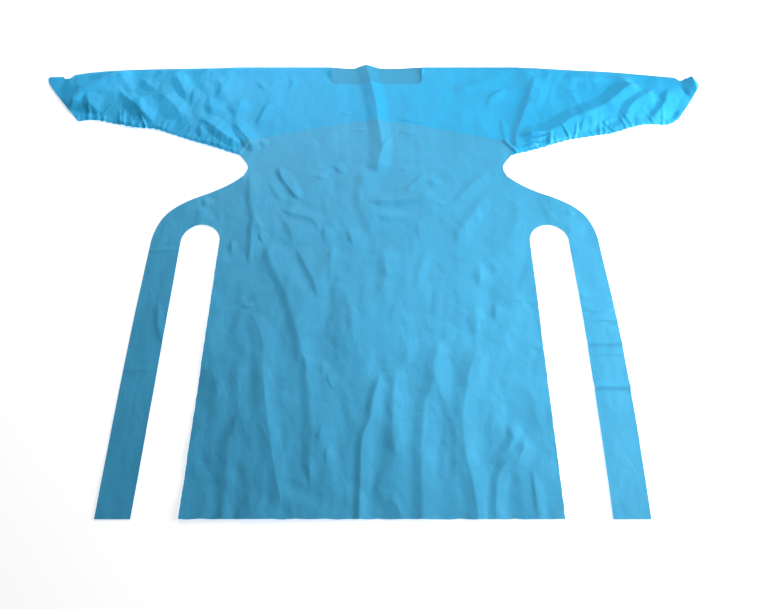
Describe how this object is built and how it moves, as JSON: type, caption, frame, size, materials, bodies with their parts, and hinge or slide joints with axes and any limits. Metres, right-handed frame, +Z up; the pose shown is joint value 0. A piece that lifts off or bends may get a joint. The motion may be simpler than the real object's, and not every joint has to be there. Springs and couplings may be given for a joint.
{
  "type": "isolation gown",
  "caption": "Thin blue plastic-film isolation gown laid flat, front up, with kimono sleeves, thumb holes, an open back under a short yoke, and waist ties cut from its sides.",
  "frame": {"origin": "on the surface under the middle of the gown's box as it lies flat", "axes": "+X toward the wearer's left sleeve, +Y from the hem toward the neck, +Z up from the surface, out of the gown's front"},
  "size_m": [1.788, 1.2001, 0.0145],
  "materials": {
    "front_panel": "semi-gloss polyethylene film, one layer",
    "back_yoke": "semi-gloss polyethylene film, one layer",
    "sleeve_left": "semi-gloss polyethylene film, two layers",
    "sleeve_right": "semi-gloss polyethylene film, two layers",
    "tie_left": "semi-gloss polyethylene film, one layer",
    "tie_right": "semi-gloss polyethylene film, one layer"
  },
  "bodies": {
    "root": {"front_panel": "front_panel", "back_yoke": "back_yoke", "sleeve_left": "sleeve_left", "sleeve_right": "sleeve_right", "tie_left": "tie_left", "tie_right": "tie_right"}
  },
  "joints": []
}
